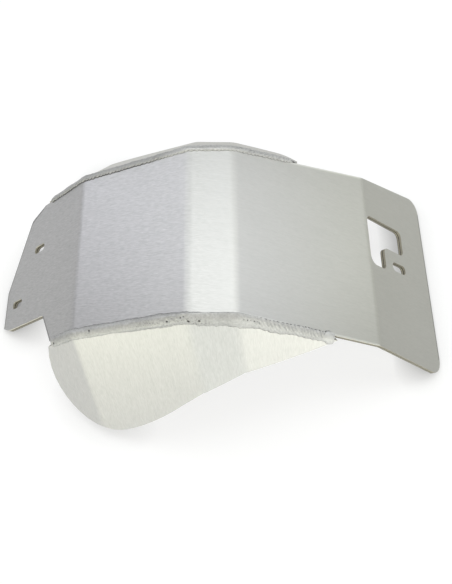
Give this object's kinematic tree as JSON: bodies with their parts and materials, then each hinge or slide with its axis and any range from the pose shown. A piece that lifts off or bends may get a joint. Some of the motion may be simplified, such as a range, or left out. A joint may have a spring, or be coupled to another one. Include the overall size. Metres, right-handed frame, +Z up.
{
  "type": "motorcycle skid plate",
  "caption": "Folded aluminium guard that shields a motorcycle's engine from below, with a wing welded along each side and slots for its bolts.",
  "frame": {"origin": "centre of the bounding box at its base, where the front and the rear edge rest", "axes": "+X to the motorcycle's rear, +Z up with the outer face on top, as the part lies on a floor"},
  "size_m": [0.448, 0.3015, 0.1447],
  "materials": {
    "sheet": "mill finish with a fine rolling grain",
    "weld": "as welded, rippled"
  },
  "bodies": {
    "root": {"center_plate": "sheet", "right_wing": "sheet", "left_wing": "sheet", "right_weld": "weld", "left_weld": "weld"}
  },
  "joints": []
}
